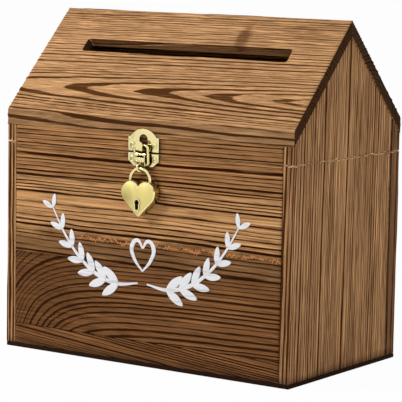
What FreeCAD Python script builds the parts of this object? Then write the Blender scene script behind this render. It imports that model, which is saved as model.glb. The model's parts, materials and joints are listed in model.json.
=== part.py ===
"""Card box in the shape of a small house: a boarded box, a hinged roof with a card slot, a toggle latch
and a heart padlock. Millimetres, +Z up, front towards -Y, origin at the middle of the underside."""
import FreeCAD, Part
import math
import os
from FreeCAD import Vector as V

# Box and roof, the eave's top edge measured from the split line
box_width = 250.0
box_depth = 146.0
board = 8.0
base_thick = 3.0
split_height = 154.0
eave_rise = 24.0
roof_pitch = 45.0
gable_overhang = 0.5

# Glue joints between the boards
front_strip_top = 18.0
front_lower_top = 72.5
front_middle_top = 130.0
rear_lower_top = 84.0
edge_strip_width = 11.0

# Card slot in the front roof board
slot_length = 180.0
slot_width = 12.0
slot_corner = 2.0
slot_from_ridge = 36.1

# Nails through the base board
nail_d = 1.4
nail_head_d = 3.0
nail_head_thick = 0.8
nail_length = 16.0
nails_long_side = 3
nail_inset = 25.0

# Butt hinges on the rear
hinge_inset = 50.0
hinge_length = 25.0
leaf_height = 11.0
leaf_thick = 1.0
hinge_pin_d = 2.0
knuckle_wall = 1.0
knuckle_count = 5
knuckle_gap = 0.25
barrel_clear = 0.3
hinge_screw_spacing = 15.0
hinge_screw_height = 7.0
pin_head_d = 3.0
pin_head_thick = 0.6

# Wood screws
screw_d = 2.0
screw_head_d = 4.2
screw_rim = 0.3
screw_dome = 0.5
screw_crown = 0.65
screw_length = 7.0
screw_slot_width = 0.6
screw_slot_depth = 0.4
fixing_clear = 0.05
pin_clear = 0.1

# Latch sheet parts, heights measured from the split line
sheet = 0.8
plate_width = 26.6
catch_bottom = 1.2
catch_shoulder = 11.3
catch_top = 17.2
arch_width = 22.9
catch_hole_width = 7.2
catch_hole_bottom = 2.4
catch_hole_top = 13.5
base_top = -0.2
base_bottom = -9.4
base_chamfer_x = 5.0
base_chamfer_z = 4.0
plate_screw_spacing = 19.4
catch_screw_height = 5.6
base_screw_height = -4.2

# Hook on the catch plate
hook_width = 5.6
hook_seat = 4.2
hook_out = 5.8
hook_tip = 8.9
hook_skirt = 1.9

# Toggle lever and draw loop
pivot_out = 3.2
pivot_height = -0.8
pivot_pin_d = 1.4
pivot_head_d = 2.3
pivot_head_thick = 0.4
ear_gap = 4.2
ear_radius = 1.35
cheek_gap = 0.3
lever_eye_radius = 1.6
loop_pivot_out = 2.4
loop_pivot_height = -8.0
loop_wire_d = 2.0
loop_spread = 11.4
loop_bend = 2.0
loop_bar_out = 3.6
loop_play = 0.4
web_out = 4.4
web_top = -2.8
web_bottom = -5.3
lip_reach = 1.5
lip_drop = 0.7
lip_edge = 0.4

# Lock eye: a wire ring on a stalk, turned so that the shackle passes through it
eye_radius = 2.75
eye_wire_d = 1.3
eye_turn = 30.0
eye_height = -9.9
eye_stalk_d = 1.6
eye_shank = 5.0
eye_collar_d = 3.2
eye_collar_thick = 0.5

# Heart padlock
heart_width = 29.6
heart_lobe_radius = 8.2
heart_height = 25.2
heart_thick = 7.3
heart_tip_radius = 2.0
heart_bevel = 0.9
heart_wall = 1.0
heart_gap = 0.5
shackle_spread = 17.2
shackle_d = 2.4
shackle_in_eye = 0.75
shackle_clear = 0.15
heel_depth = 13.0
toe_depth = 10.5
shackle_rise = 0.4
keyhole_d = 3.9
keyhole_slot = 2.8
keyhole_drop = 5.4
keyhole_from_tip = 10.2
keyhole_rim_width = 0.9
keyhole_rim_proud = 0.4
key_post_d = 1.4
key_post_depth = 3.0

# Lock bolt and its spring
bolt_height = 2.0
bolt_length = 6.6
bolt_thick = 3.0
bolt_grip = 0.6
bolt_play = 1.3
bolt_depth = 7.2
bolt_clear = 0.2
guide_thick = 1.4
guide_length = 11.0
spring_thick = 0.4
spring_foot = 2.0

# Places worked out from the sizes above
half_width = box_width / 2
half_depth = box_depth / 2
front = -half_depth
rear = half_depth
inner_half = half_width - board
pitch = math.radians(roof_pitch)
roof_drop = board / math.cos(pitch)
ridge_height = split_height + eave_rise + half_depth * math.tan(pitch)
under_ridge = ridge_height - roof_drop
strip_edge = rear - edge_strip_width
knuckle_r = hinge_pin_d / 2 + knuckle_wall
hinge_x = half_width - hinge_inset
hinge_y = rear + knuckle_r + barrel_clear
shackle_r = shackle_d / 2
ear_inner = ear_gap / 2
ear_outer = ear_inner + sheet
cheek_inner = ear_outer + cheek_gap
cheek_outer = cheek_inner + sheet
loop_top = split_height + hook_seat + loop_play + loop_wire_d / 2
pivot = V(0, front - pivot_out, split_height + pivot_height)
loop_pivot = V(0, front - loop_pivot_out, split_height + loop_pivot_height)
loop_bar = V(0, front - loop_bar_out, loop_top)
lock_y = front - heart_gap - heart_thick / 2
eye_z = split_height + eye_height
shackle_top = eye_z - shackle_in_eye
arch_base = shackle_top - shackle_spread / 2
heart_top = arch_base - shackle_rise
heart_tip = heart_top - heart_height
lobe_z = heart_top - heart_lobe_radius
lobe_x = heart_width / 2 - heart_lobe_radius
heart_front = front - heart_gap - heart_thick
heart_back = front - heart_gap
keyhole_z = heart_tip + keyhole_from_tip
toe_x = shackle_spread / 2
bolt_z = heart_top - bolt_depth

parts = {}


def box(x0, x1, y0, y1, z0, z1):
    return Part.makeBox(x1 - x0, y1 - y0, z1 - z0, V(x0, y0, z0))


def rod(radius, start, end):
    return Part.makeCylinder(radius, (end - start).Length, start, end - start)


def prism(points, path):
    """Solid from a closed outline of points, pushed along path."""
    return Part.Face(Part.makePolygon(points + points[:1])).extrude(path)


def outline(edges, path):
    """Solid from a closed outline of lines and arcs, pushed along path."""
    return Part.Face(Part.Wire(Part.__sortEdges__(edges))).extrude(path)


def line(start, end):
    return Part.LineSegment(start, end).toShape()


def arc(start, middle, end):
    return Part.Arc(start, middle, end).toShape()


def tube(edges, radius):
    """Round wire along a path of lines and arcs that touch smoothly."""
    path = Part.Wire(edges)
    start = edges[0].valueAt(edges[0].FirstParameter)
    along = edges[0].tangentAt(edges[0].FirstParameter)
    section = Part.Wire(Part.makeCircle(radius, start, along))
    return path.makePipeShell([section], True, False)


def group(name, solids):
    parts[name] = Part.makeCompound(solids)


def roof_under(y):
    return under_ridge - abs(y) * math.tan(pitch)


def screw(point, outward):
    """Wood screw with a cross slot: its low domed head rests on the plate's face at point."""
    head_r = screw_head_d / 2
    crown_r = head_r * screw_crown
    rim = point + outward * screw_rim
    body = Part.makeCylinder(screw_d / 2, screw_length + screw_rim, rim, -outward)
    body = body.fuse(Part.makeCylinder(head_r, screw_rim, point, outward))
    body = body.fuse(Part.makeCone(head_r, crown_r, screw_dome, rim, outward))
    for along in (V(1, 0, 0), V(0, 0, 1)):
        side = along.cross(outward) * (screw_slot_width / 2)
        end = along * crown_r
        floor = rim + outward * (screw_dome - screw_slot_depth)
        cutter = prism([floor + end + side, floor - end + side, floor - end - side, floor + end - side],
                       outward * screw_dome)
        body = body.cut(cutter)
    return body


def screw_hole(point, outward):
    return Part.makeCylinder(screw_d / 2 + fixing_clear, 2 * (screw_length + fixing_clear),
                             point - outward * (screw_length + fixing_clear), outward)


def nail_places():
    """Nails in a row under each long side and at the middle of each short side."""
    reach = half_width - nail_inset
    step = 2 * reach / (nails_long_side - 1)
    for y in (front + board / 2, rear - board / 2):
        for i in range(nails_long_side):
            yield V(-reach + i * step, y, 0)
    for side in (-1, 1):
        yield V(side * (half_width - board / 2), 0, 0)


def hinge_screw_places(side, up):
    for end in (-1, 1):
        x = side * hinge_x + end * hinge_screw_spacing / 2
        yield V(x, rear + leaf_thick, split_height + up * hinge_screw_height)


def plate_screw_places(height):
    for side in (-1, 1):
        yield V(side * plate_screw_spacing / 2, front - sheet, split_height + height)


def drilled(solid, points, outward):
    for point in points:
        solid = solid.cut(screw_hole(point, outward))
    return solid


def boards():
    """The box's walls and base, and the lid's boards, before their holes."""
    parts["base_board"] = box(-half_width, half_width, front, rear, 0, base_thick)
    heights = [base_thick, front_strip_top, front_lower_top, front_middle_top, split_height]
    names = ["front_bottom_strip", "front_lower_board", "front_middle_board", "front_top_board"]
    for name, low, high in zip(names, heights, heights[1:]):
        parts[name] = box(-inner_half, inner_half, front, front + board, low, high)
    for name, low, high in (("rear_lower_board", base_thick, rear_lower_top),
                            ("rear_upper_board", rear_lower_top, split_height)):
        parts[name] = box(-inner_half, inner_half, rear - board, rear, low, high)
    for name, x in (("left", -half_width), ("right", inner_half)):
        parts[name + "_side_board"] = box(x, x + board, front, strip_edge, base_thick, split_height)
        parts[name + "_side_edge_strip"] = box(x, x + board, strip_edge, rear, base_thick, split_height)
        parts[name + "_gable"] = prism([
            V(x, front, split_height), V(x, strip_edge, split_height),
            V(x, strip_edge, roof_under(strip_edge)), V(x, 0, under_ridge), V(x, front, roof_under(front))],
            V(board, 0, 0))
        parts[name + "_gable_edge_strip"] = prism([
            V(x, strip_edge, split_height), V(x, rear, split_height), V(x, rear, roof_under(rear)),
            V(x, strip_edge, roof_under(strip_edge))], V(board, 0, 0))
    for name, side in (("front", -1), ("rear", 1)):
        outer = side * half_depth
        inner = side * (half_depth - board)
        parts["lid_%s_rail" % name] = prism([
            V(-inner_half, outer, split_height), V(-inner_half, inner, split_height),
            V(-inner_half, inner, roof_under(inner)), V(-inner_half, outer, roof_under(outer))],
            V(2 * inner_half, 0, 0))
        end = -half_width - gable_overhang
        parts["roof_%s_board" % name] = prism([
            V(end, 0, ridge_height), V(end, 0, under_ridge), V(end, outer, roof_under(outer)),
            V(end, outer, roof_under(outer) + roof_drop)], V(box_width + 2 * gable_overhang, 0, 0))


def card_slot():
    """Long hole with rounded corners, square to the roof board."""
    outward = V(0, -math.sin(pitch), math.cos(pitch))
    down = V(0, -math.cos(pitch), -math.sin(pitch))
    middle = V(0, 0, ridge_height) + down * slot_from_ridge - outward * board
    through = outward * board
    long, wide = slot_length / 2, slot_width / 2
    inner_long, inner_wide = long - slot_corner, wide - slot_corner
    diagonal = slot_corner * math.sqrt(0.5)

    def at(x, drop):
        return middle + V(x, 0, 0) + down * drop

    edges = []
    for side in (-1, 1):
        edges.append(line(at(-inner_long, side * wide), at(inner_long, side * wide)))
        edges.append(line(at(side * long, -inner_wide), at(side * long, inner_wide)))
        for lower in (-1, 1):
            bend = at(side * (inner_long + diagonal), lower * (inner_wide + diagonal))
            edges.append(arc(at(side * long, lower * inner_wide), bend, at(side * inner_long, lower * wide)))
    slot = outline(edges, through)
    parts["roof_front_board"] = parts["roof_front_board"].cut(slot)


def nails():
    bored = ["base_board", "front_bottom_strip", "rear_lower_board", "left_side_board", "right_side_board"]
    made = []
    for point in nail_places():
        top = V(0, 0, 1)
        shank = Part.makeCylinder(nail_d / 2, nail_length, point, top)
        made.append(shank.fuse(Part.makeCylinder(nail_head_d / 2, nail_head_thick, point, top)))
        hole = Part.makeCylinder(nail_d / 2 + fixing_clear, nail_length + fixing_clear, point, top)
        sink = Part.makeCylinder(nail_head_d / 2 + fixing_clear, nail_head_thick, point, top)
        for name in bored:
            parts[name] = parts[name].cut(hole.fuse(sink))
    group("base_nails", made)


def hinge_leaf(side, up, own):
    """One leaf: a plate on the rear face and the knuckles in own, counted from the left."""
    left = side * hinge_x - hinge_length / 2
    pitch_x = (hinge_length + knuckle_gap) / knuckle_count
    near = split_height + up * (knuckle_r + knuckle_gap)
    far = split_height + up * leaf_height
    leaf = box(left, left + hinge_length, rear, rear + leaf_thick, min(near, far), max(near, far))
    for i in own:
        x0 = left + i * pitch_x
        x1 = x0 + pitch_x - knuckle_gap
        low, high = sorted((split_height, near))
        leaf = leaf.fuse(box(x0, x1, rear, rear + leaf_thick, low, high))
        leaf = leaf.fuse(rod(knuckle_r, V(x0, hinge_y, split_height), V(x1, hinge_y, split_height)))
    bore = rod(hinge_pin_d / 2 + pin_clear, V(left, hinge_y, split_height),
               V(left + hinge_length, hinge_y, split_height))
    return drilled(leaf.removeSplitter().cut(bore), hinge_screw_places(side, up), V(0, 1, 0))


def hinges():
    outward = V(0, 1, 0)
    for name, side in (("left", -1), ("right", 1)):
        parts[name + "_hinge_box_leaf"] = hinge_leaf(side, -1, range(0, knuckle_count, 2))
        parts[name + "_hinge_lid_leaf"] = hinge_leaf(side, 1, range(1, knuckle_count, 2))
        x = side * hinge_x
        half = hinge_length / 2 + pin_clear
        pin = rod(hinge_pin_d / 2, V(x - half, hinge_y, split_height), V(x + half, hinge_y, split_height))
        for end in (-1, 1):
            start = V(x + end * half, hinge_y, split_height)
            pin = pin.fuse(rod(pin_head_d / 2, start, start + V(end * pin_head_thick, 0, 0)))
        parts[name + "_hinge_pin"] = pin
    for owner, up, wood in (("box", -1, "rear_upper_board"), ("lid", 1, "lid_rear_rail")):
        places = [p for side in (-1, 1) for p in hinge_screw_places(side, up)]
        group(owner + "_hinge_screws", [screw(p, outward) for p in places])
        parts[wood] = drilled(parts[wood], places, outward)


def catch_plate():
    """Arched plate on the lid with a hole cut in it and a round-topped hook that holds the loop's bar."""
    thick = V(0, -sheet, 0)
    half = plate_width / 2
    arch = arch_width / 2
    low, shoulder, top = (split_height + h for h in (catch_bottom, catch_shoulder, catch_top))

    def at(x, z):
        return V(x, front, z)

    plate = outline([
        line(at(-half, low), at(half, low)), line(at(half, low), at(half, shoulder)),
        line(at(half, shoulder), at(arch, shoulder)),
        arc(at(arch, shoulder), at(0, top), at(-arch, shoulder)),
        line(at(-arch, shoulder), at(-half, shoulder)), line(at(-half, shoulder), at(-half, low))], thick)
    r = catch_hole_width / 2
    bottom = split_height + catch_hole_bottom
    bend = split_height + catch_hole_top - r
    plate = plate.cut(outline([
        line(at(-r, bottom), at(r, bottom)), line(at(r, bottom), at(r, bend)),
        arc(at(r, bend), at(0, bend + r), at(-r, bend)), line(at(-r, bend), at(-r, bottom))], thick))
    seat = split_height + hook_seat
    tip = split_height + hook_tip
    skirt = split_height + hook_skirt
    x = -hook_width / 2
    hook = prism([
        V(x, front, low), V(x, front - sheet, low), V(x, front - hook_out, skirt),
        V(x, front - hook_out - sheet, skirt + sheet), V(x, front - hook_out - sheet, tip),
        V(x, front - hook_out, tip), V(x, front - hook_out, seat), V(x, front, seat)], V(hook_width, 0, 0))
    tip_r = hook_width / 2
    round_z = tip - tip_r
    tongue = outline([
        line(at(-tip_r, low), at(tip_r, low)), line(at(tip_r, low), at(tip_r, round_z)),
        arc(at(tip_r, round_z), at(0, tip), at(-tip_r, round_z)), line(at(-tip_r, round_z), at(-tip_r, low))],
        V(0, -hook_out - sheet, 0))
    plate = plate.fuse(hook.common(tongue)).removeSplitter()
    places = list(plate_screw_places(catch_screw_height))
    outward = V(0, -1, 0)
    parts["catch_plate"] = drilled(plate, places, outward)
    group("catch_plate_screws", [screw(p, outward) for p in places])
    parts["lid_front_rail"] = drilled(parts["lid_front_rail"], places, outward)


def base_plate():
    """Plate on the box with two ears for the lever's pin."""
    half = plate_width / 2
    top = split_height + base_top
    low = split_height + base_bottom

    def at(x, z):
        return V(x, front, z)

    plate = prism([
        at(-half, top), at(half, top), at(half, low + base_chamfer_z), at(half - base_chamfer_x, low),
        at(base_chamfer_x - half, low), at(-half, low + base_chamfer_z)], V(0, -sheet, 0))
    for side in (-1, 1):
        x = side * ear_inner if side > 0 else -ear_outer
        ear = rod(ear_radius, V(x, pivot.y, pivot.z), V(x + sheet, pivot.y, pivot.z))
        ear_low = pivot.z - ear_radius
        ear_high = min(pivot.z + ear_radius, top)
        plate = plate.fuse(ear).fuse(box(x, x + sheet, pivot.y, front, ear_low, ear_high))
    across = V(ear_outer, 0, 0)
    pin_hole = rod(pivot_pin_d / 2 + fixing_clear, pivot - across, pivot + across)
    plate = plate.removeSplitter().cut(pin_hole)
    places = list(plate_screw_places(base_screw_height))
    outward = V(0, -1, 0)
    plate = drilled(plate, places, outward)
    parts["latch_base_plate"] = plate.cut(eye_stalk(fixing_clear))
    group("base_plate_screws", [screw(p, outward) for p in places])
    wood = drilled(parts["front_top_board"], places, outward)
    parts["front_top_board"] = wood.cut(eye_stalk(fixing_clear))
    end = V(cheek_outer + fixing_clear, 0, 0)
    pin = rod(pivot_pin_d / 2, pivot - end, pivot + end)
    for side in (-1, 1):
        start = pivot + end * side
        pin = pin.fuse(rod(pivot_head_d / 2, start, start + V(side * pivot_head_thick, 0, 0)))
    parts["lever_pin"] = pin


def eye_stalk(extra):
    """Straight stalk of the lock eye, from inside the wood out through the top of the ring."""
    top = eye_z + eye_radius
    end = lock_y - eye_wire_d / 2
    return rod(eye_stalk_d / 2 + extra, V(0, front + eye_shank + extra, top), V(0, end, top))


def lock_eye():
    turn = math.radians(eye_turn)
    axis = V(math.cos(turn), -math.sin(turn), 0)
    ring = Part.makeTorus(eye_radius, eye_wire_d / 2, V(0, lock_y, eye_z), axis)
    top = V(0, front - sheet, eye_z + eye_radius)
    collar = rod(eye_collar_d / 2, top, top - V(0, eye_collar_thick, 0))
    parts["lock_eye"] = ring.fuse(eye_stalk(0)).fuse(collar)


def toggle_lever():
    """Two cheeks outside the ears, joined by a front web that ends in a flared thumb lip."""
    across = V(sheet, 0, 0)
    web_y = front - web_out
    top = split_height + web_top
    low = split_height + web_bottom
    web = prism([
        V(-cheek_outer, web_y, top), V(-cheek_outer, web_y - sheet, top),
        V(-cheek_outer, web_y - sheet, low), V(-cheek_outer, web_y - sheet - lip_reach, low - lip_drop),
        V(-cheek_outer, web_y - lip_reach, low - lip_drop - lip_edge), V(-cheek_outer, web_y, low)],
        V(2 * cheek_outer, 0, 0))
    lever = web
    for x in (-cheek_outer, cheek_inner):
        lever = lever.fuse(prism([
            V(x, pivot.y + lever_eye_radius, pivot.z), V(x, pivot.y - lever_eye_radius, pivot.z),
            V(x, web_y, top), V(x, web_y, low), V(x, loop_pivot.y - lever_eye_radius, loop_pivot.z),
            V(x, loop_pivot.y + lever_eye_radius, loop_pivot.z)], across))
        for centre in (pivot, loop_pivot):
            start = centre + V(x, 0, 0)
            lever = lever.fuse(rod(lever_eye_radius, start, start + across))
    lever = lever.removeSplitter()
    reach = V(2 * cheek_outer, 0, 0)
    for centre, wire_d in ((pivot, pivot_pin_d), (loop_pivot, loop_wire_d)):
        lever = lever.cut(rod(wire_d / 2 + pin_clear, centre - reach, centre + reach))
    parts["toggle_lever"] = lever


def draw_loop():
    """Wire loop: two inturned ends in the lever's cheeks, two side bars and a bar behind the hook."""
    up = (loop_bar - loop_pivot).normalize()
    length = (loop_bar - loop_pivot).Length
    half = loop_spread / 2
    b = loop_bend
    inset = b * (1 - math.sqrt(0.5))

    def at(x, s):
        return loop_pivot + V(x, 0, 0) + up * s

    parts["draw_loop"] = tube([
        line(at(-cheek_inner, 0), at(b - half, 0)),
        arc(at(b - half, 0), at(inset - half, inset), at(-half, b)),
        line(at(-half, b), at(-half, length - b)),
        arc(at(-half, length - b), at(inset - half, length - inset), at(b - half, length)),
        line(at(b - half, length), at(half - b, length)),
        arc(at(half - b, length), at(half - inset, length - inset), at(half, length - b)),
        line(at(half, length - b), at(half, b)), arc(at(half, b), at(half - inset, inset), at(half - b, 0)),
        line(at(half - b, 0), at(cheek_inner, 0))], loop_wire_d / 2)


def heart_wire(shrink, y):
    """Heart outline: two lobes, straight sides and a round tip, drawn in by shrink all round."""
    r = heart_lobe_radius - shrink
    tip_r = max(heart_tip_radius - shrink, heart_tip_radius / 4)
    tip_z = heart_tip + heart_tip_radius
    rise = lobe_z - tip_z
    narrowing = (heart_lobe_radius - heart_tip_radius) / math.hypot(lobe_x, rise)
    tilt = math.atan2(lobe_x, rise) + math.asin(narrowing)
    out_x, out_z = math.cos(tilt), -math.sin(tilt)
    notch = V(0, y, lobe_z + math.sqrt(r ** 2 - lobe_x ** 2))
    edges = []
    for side in (-1, 1):
        shoulder = V(side * (lobe_x + r * out_x), y, lobe_z + r * out_z)
        foot = V(side * tip_r * out_x, y, tip_z + tip_r * out_z)
        crown = V(side * (lobe_x + r * math.sqrt(0.5)), y, lobe_z + r * math.sqrt(0.5))
        edges += [arc(notch, crown, shoulder), line(shoulder, foot)]
    edges.append(arc(foot, V(0, y, tip_z - tip_r), V(-foot.x, y, foot.z)))
    return Part.Wire(Part.__sortEdges__(edges))


def heart(shrink, y, depth):
    return Part.Face(heart_wire(shrink, y)).extrude(V(0, depth, 0))


def keyhole(extra, y, path):
    r = keyhole_d / 2 + extra
    half = keyhole_slot / 2 + extra
    low = keyhole_z - keyhole_drop - extra
    join = keyhole_z - math.sqrt(r ** 2 - half ** 2)

    def at(x, z):
        return V(x, y, z)

    return outline([
        arc(at(half, join), at(0, keyhole_z + r), at(-half, join)),
        line(at(-half, join), at(-half, low + half)),
        arc(at(-half, low + half), at(0, low), at(half, low + half)),
        line(at(half, low + half), at(half, join))], path)


def leg_holes():
    """Two round holes in the top of the case, for the shackle's legs."""
    r = shackle_r + shackle_clear
    for side in (-1, 1):
        foot = V(side * toe_x, lock_y, bolt_z)
        yield rod(r, foot, foot + V(0, 0, heart_top - bolt_z + shackle_r))


def padlock_case():
    """Hollow heart with a bevelled front, closed by a plate set in its back."""
    straight = heart_front + heart_bevel
    bevel = Part.makeLoft([heart_wire(heart_bevel, heart_front), heart_wire(0, straight)], True, True)
    shell = bevel.fuse(heart(0, straight, heart_back - straight)).removeSplitter()
    inside = heart_front + heart_bevel + heart_wall / 2
    shell = shell.cut(heart(heart_wall, inside, heart_back - inside))
    shell = shell.cut(keyhole(0, heart_front, V(0, heart_thick, 0)))
    guide_x = toe_x - shackle_r - bolt_clear - guide_length
    guide_top = bolt_z - bolt_height / 2 - bolt_clear
    bolt_back = lock_y + bolt_thick / 2
    guide = box(guide_x, guide_x + guide_length, inside, bolt_back, guide_top - guide_thick, guide_top)
    foot_low = bolt_z + bolt_height / 2 + bolt_clear
    foot = box(guide_x, guide_x + spring_foot, inside, bolt_back, foot_low, foot_low + guide_thick)
    shell = shell.fuse(guide).fuse(foot)
    for hole in leg_holes():
        shell = shell.cut(hole)
    parts["padlock_front_shell"] = shell
    plate = heart(heart_wall + fixing_clear, heart_back - heart_wall, heart_wall)
    post_start = V(0, heart_back - heart_wall, keyhole_z)
    parts["padlock_back_plate"] = plate
    parts["key_post"] = rod(key_post_d / 2, post_start, V(0, heart_front + key_post_depth, keyhole_z))
    rim = keyhole(keyhole_rim_width, heart_front, V(0, -keyhole_rim_proud, 0))
    parts["keyhole_rim"] = rim.cut(keyhole(0, heart_front, V(0, -keyhole_rim_proud, 0)))
    spring_x = guide_x + spring_foot
    parts["bolt_spring"] = box(spring_x, guide_x + guide_length, bolt_back - bolt_thick, bolt_back,
                               foot_low, foot_low + spring_thick)


def shackle():
    """Round wire arch with a long heel leg, and a toe leg with a notch for the bolt."""
    half = shackle_spread / 2

    def at(x, z):
        return V(x, lock_y, z)

    bow = tube([
        line(at(-half, heart_top - heel_depth), at(-half, arch_base)),
        arc(at(-half, arch_base), at(0, shackle_top), at(half, arch_base)),
        line(at(half, arch_base), at(half, heart_top - toe_depth))], shackle_r)
    tip = half - shackle_r + bolt_grip + bolt_clear
    low = bolt_z - bolt_height / 2 - bolt_play
    high = bolt_z + bolt_height / 2 + bolt_clear
    parts["padlock_shackle"] = bow.cut(box(0, tip, lock_y - shackle_d, lock_y + shackle_d, low, high))


def lock_bolt():
    tip = toe_x - shackle_r + bolt_grip
    parts["lock_bolt"] = box(tip - bolt_length, tip, lock_y - bolt_thick / 2, lock_y + bolt_thick / 2,
                             bolt_z - bolt_height / 2, bolt_z + bolt_height / 2)


def main():
    boards()
    card_slot()
    nails()
    hinges()
    catch_plate()
    base_plate()
    lock_eye()
    toggle_lever()
    draw_loop()
    padlock_case()
    shackle()
    lock_bolt()
    os.makedirs("parts", exist_ok=True)
    for name, shape in parts.items():
        shape.exportStep("parts/%s.step" % name)
        sound = shape.isValid()
        print("%-26s solids %d valid %s volume %.1f" % (name, len(shape.Solids), sound, shape.Volume))


main()
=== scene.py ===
"""Looks of a house-shaped card box: torched softwood boards, a brass toggle latch and a heart padlock."""

import json
import math
from collections import namedtuple

import bmesh
import bpy
from bpy.props import FloatProperty, FloatVectorProperty, PointerProperty
from mathutils import Matrix, Vector

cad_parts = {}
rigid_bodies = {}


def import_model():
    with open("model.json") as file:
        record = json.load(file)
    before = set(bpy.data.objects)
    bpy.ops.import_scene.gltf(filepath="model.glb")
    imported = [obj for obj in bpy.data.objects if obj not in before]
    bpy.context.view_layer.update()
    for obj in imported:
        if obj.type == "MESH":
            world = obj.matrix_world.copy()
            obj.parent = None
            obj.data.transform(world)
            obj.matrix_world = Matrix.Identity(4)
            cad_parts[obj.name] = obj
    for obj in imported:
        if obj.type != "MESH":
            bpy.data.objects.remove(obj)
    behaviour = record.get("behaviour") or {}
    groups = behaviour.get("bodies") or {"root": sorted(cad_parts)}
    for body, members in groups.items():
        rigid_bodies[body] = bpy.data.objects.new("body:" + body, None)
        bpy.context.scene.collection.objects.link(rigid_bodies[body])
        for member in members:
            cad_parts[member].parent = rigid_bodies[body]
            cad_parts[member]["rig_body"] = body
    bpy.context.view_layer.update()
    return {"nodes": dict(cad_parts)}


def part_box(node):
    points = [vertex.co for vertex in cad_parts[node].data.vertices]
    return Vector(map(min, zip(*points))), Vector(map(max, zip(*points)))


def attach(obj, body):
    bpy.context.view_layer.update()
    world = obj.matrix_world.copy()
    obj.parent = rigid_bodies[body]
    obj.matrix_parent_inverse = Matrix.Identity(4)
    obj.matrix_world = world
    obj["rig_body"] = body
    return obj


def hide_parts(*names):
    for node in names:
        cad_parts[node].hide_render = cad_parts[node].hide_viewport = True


bl_info = {
    "name": "Torched Card Box",
    "version": (1, 0, 0),
    "blender": (4, 5, 0),
    "location": "View3D > Sidebar > Card Box",
    "description": "Dresses the boards, latch and padlock of a card box and sets its stage",
    "category": "Object",
}

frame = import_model()

MM = 0.001
WHITE = (1.0, 1.0, 1.0, 1.0)

# Ways that faces and grain point, and the least cosines for facing one
ALONG = (1.0, 0.0, 0.0)
UPRIGHT = (0.0, 0.0, 1.0)
FRONT = (0.0, -1.0, 0.0)
REAR = (0.0, 1.0, 0.0)
FLAT_FRONT = 0.99
ACROSS_GRAIN = 0.75

# Names that meshes, materials and node groups share
END_GRAIN = "end_grain"
BRUSHED = "brushed"
RELIEF = "_relief"
GRAIN_GROUP = "Torched wood grain"
TORN_GROUP = "Torn fibre line"
FOOT_GROUP = "Darkened foot"

# Cleaning, rounding and brushing of the pieces, lengths in millimetres
MERGE_REACH = 0.002
CUT_REACH = 0.0001
FLAT_ANGLE = math.radians(0.6)
SHARP_ANGLE = math.radians(32)
LEAST_WOOD_EDGE = 3.0
LEAST_METAL_EDGE = 0.5
BRUSH_WIDTH = 0.6
BRUSH_LENGTH = 3.0

# Growth rings: a ring runs from 0 to 1, and its late wood is the dark line that ends near 1
LATE_END = 0.94
LATE_FADE = 0.92
LATE_SHARES = (0.26, 0.5)
LATE_SOFTNESS = 0.2
LATE_VIGOUR = (0.6, 1.15)
RING_DRIFT = 3.0
RING_DRIFT_SCALE = 0.06
FIBRE_MIDDLE = 0.42
FIBRE_TONE = 2.3
FIBRE_RIDGE = 0.35
BURN_MIDDLE = 0.4

# Finish of the wood, lengths in millimetres
BRIGHT_FIBRE = 1.6
CHAR_STRENGTH = 0.92
EAVE_CHAR = 0.42
SAW_REACH = 1.5
SAW_STRENGTH = 0.7
SAW_HALF_WIDTH = 0.5
SAW_RAGGEDNESS = 3.2
TORN_RISE = 15.5
TORN_INSET = 35.0
TORN_ONSET = 40.0
FAR_LEFT = -1000.0
TORN_HALF_WIDTH = 1.2
TORN_RAGGEDNESS = 7.0
FOOT_HEIGHT = 9.0
FOOT_STRENGTH = 0.9
SCORCH_RAGGEDNESS = 1.2
RIDGE_BUMP = 0.5
WOOD_ROUGHNESS = 0.75
WOOD_SHINE = 0.02
PAINT_ROUGHNESS = 0.6

# Finish of the metal, lengths in metres, scales and curve per metre
DOME_CURVE = 5.0
SHEET_WAVES = 0.0004
WAVE_SCALE = 70.0
WEAR_SCALE = 900.0
WEAR_SPREAD = 0.08
# Painted shade: corners and crevices of the metal, found by ambient occlusion within this reach, darken its
# colour by these shares
CORNER_REACH = 0.004
CORNER_SAMPLES = 8
CREVICE_SHADE_SHARES = (0.12, 0.09, 0.04)

# Sprigs and heart, in millimetres across and up the front and degrees; strokes also hold half their width
SPRIG_START = Vector((4.0, 60.0))
SPRIG_PULL = Vector((50.0, 47.0))
SPRIG_END = Vector((83.0, 110.0))
SPRIG_HALF_WIDTHS = (0.6, 1.5, 1.7, 1.3, 1.0, 0.5)
LEAF_PAIRS = 7
LEAF_LENGTHS = (19.0, 11.0)
LEAF_START = 0.06
LEAF_SPAN = 0.92
LEAF_SPLAY = 36.0
LEAF_SLIM = 0.36
LEAF_TAPER = 1.2
HEART_STROKE = ((0.0, 69.0, 0.6), (7.5, 78.0, 1.5), (9.5, 86.5, 1.9), (4.8, 91.0, 1.5), (0.0, 85.5, 0.7))

# Stage, lengths in metres
FLOOR_HALF = 20.0
FLOOR_DROP = 0.1 * MM
FLOOR_GREY = (0.85, 0.85, 0.85, 1.0)
KEY_PLACE = (-0.95, -1.0, 1.05)
KEY_SIZE = 0.5
FILL_PLACE = (1.5, -0.35, 0.6)
FILL_SIZE = 1.0
DARK_CARDS = (("left_card", (-0.44, -0.36, 0.03), 0.44), ("right_card", (0.30, -0.30, 0.30), 0.22),
              ("low_card", (-0.30, -0.16, 0.0), 0.36))
CARD_GLOW = 0.03

# Darkened place on a board, for scorch, dark joints and painted shadow alike: its centre and its reach on
# each axis in millimetres, its strength and its tint
Patch = namedtuple("Patch", "centre reach strength tint")

front_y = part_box("front_top_board")[0].y / MM
rear_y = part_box("rear_upper_board")[1].y / MM
half_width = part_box("right_side_board")[1].x / MM
inner_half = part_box("front_top_board")[1].x / MM
split_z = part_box("front_top_board")[1].z / MM
ridge_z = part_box("roof_front_board")[1].z / MM
joint_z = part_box("front_lower_board")[1].z / MM
torn_z = joint_z + TORN_RISE
shelf_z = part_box("front_middle_board")[1].z / MM
strip_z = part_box("front_bottom_strip")[1].z / MM


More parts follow.
